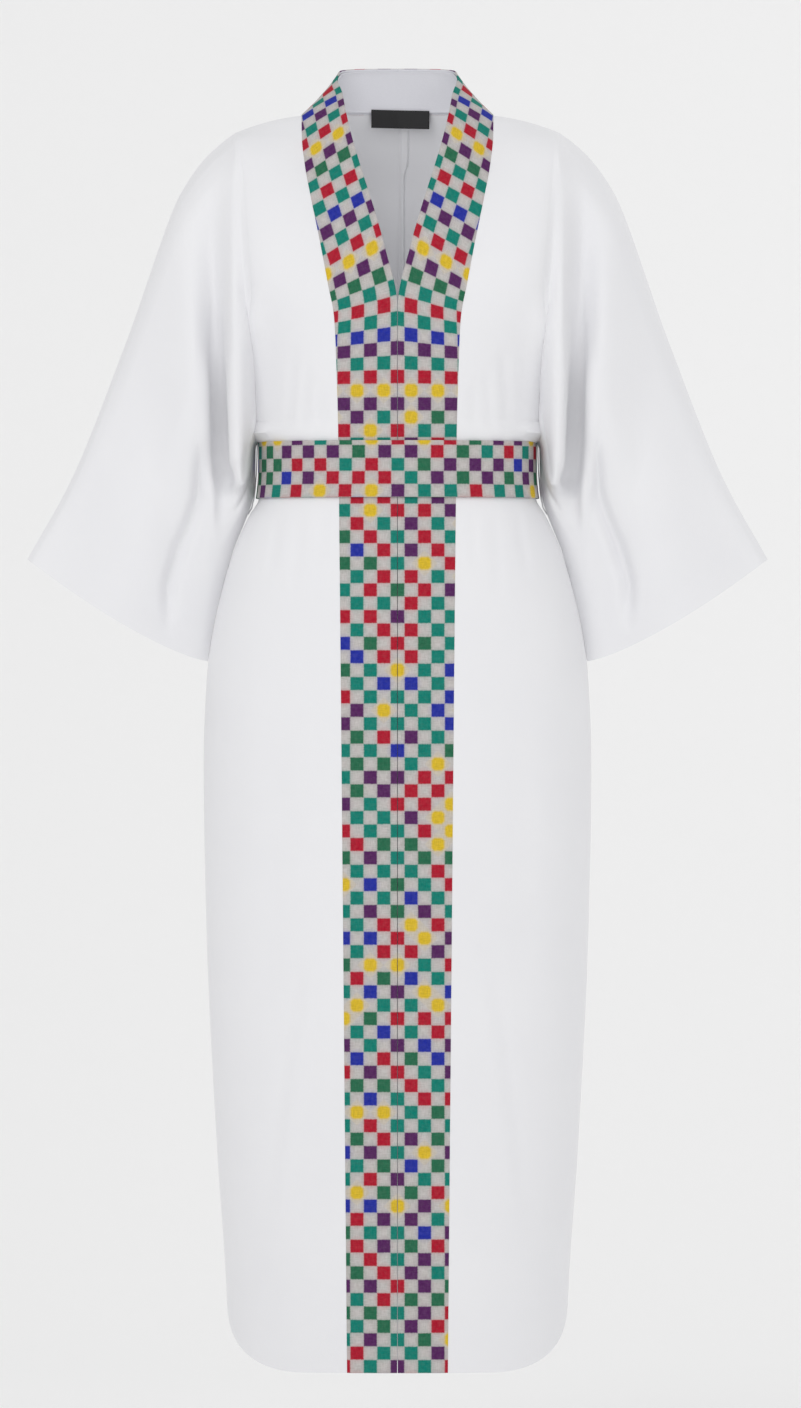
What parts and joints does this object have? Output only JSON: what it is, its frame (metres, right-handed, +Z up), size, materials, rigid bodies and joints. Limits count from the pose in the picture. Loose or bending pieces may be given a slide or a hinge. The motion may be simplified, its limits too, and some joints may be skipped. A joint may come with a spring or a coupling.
{
  "type": "open-front robe (boubou) with check band and belt",
  "caption": "Ankle-length open-front robe with wide batwing sleeves, a check band round the neck and down the front, and a check belt, hollow as worn.",
  "frame": {"origin": "between the shoulders, at the level of the shoulder line and in the plane of the side seams, where the wearer holds the robe up", "axes": "+X to the wearer's left, -Y out of the front, +Z up"},
  "size_m": [0.787, 0.2534, 1.3831],
  "materials": {
    "crepe": "white crepe, soft sheen, fine pebbled weave",
    "check": "linen-like ground with small coloured squares in a check",
    "belt_check": "the same check, flat belt with turned edges",
    "facing": "plain white cotton",
    "tape": "plain black woven tape, bare",
    "loop": "white thread and crepe loop"
  },
  "bodies": {
    "root": {"front_right": "crepe", "front_left": "crepe", "back_right": "crepe", "back_left": "crepe", "band_right": "check", "band_left": "check", "neck_facing": "facing", "neck_label": "tape", "belt": "belt_check", "belt_loop_right": "loop", "belt_loop_left": "loop"}
  },
  "joints": []
}
